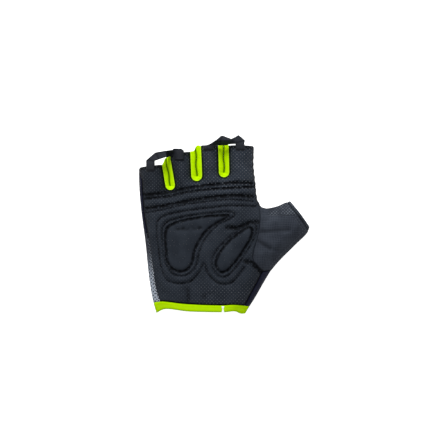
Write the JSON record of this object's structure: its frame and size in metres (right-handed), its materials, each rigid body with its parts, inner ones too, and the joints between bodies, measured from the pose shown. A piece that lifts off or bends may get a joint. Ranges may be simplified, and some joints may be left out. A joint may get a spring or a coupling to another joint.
{
  "type": "fitness glove",
  "caption": "Half-finger fitness glove for the right hand, lying palm up: padded grip palm, open fingers, thumb and wrist, pull loops and a bound cuff.",
  "frame": {"origin": "middle of the glove's box, on the surface that its back rests on", "axes": "+X towards the thumb, +Y towards the fingertips, +Z out of the palm"},
  "size_m": [0.1461, 0.1535, 0.0187],
  "materials": {
    "palm_cloth": "matt charcoal synthetic suede with a dotted grip",
    "thumb_cloth": "matt charcoal cloth with a fine grid",
    "back_cloth": "smooth dark navy stretch knit",
    "grey_mesh": "pale grey open mesh",
    "lime_cloth": "soft lime stretch cloth",
    "black_ribbon": "woven black ribbon"
  },
  "bodies": {
    "root": {"palm_panel": "palm_cloth", "thumb_panel": "thumb_cloth", "back_panel": "back_cloth", "side_mesh": "grey_mesh", "gusset_little_ring": "lime_cloth", "gusset_ring_middle": "lime_cloth", "gusset_middle_index": "lime_cloth", "pull_loop_left": "black_ribbon", "pull_loop_right": "black_ribbon", "thumb_binding": "black_ribbon", "cuff_binding": "lime_cloth"}
  },
  "joints": []
}
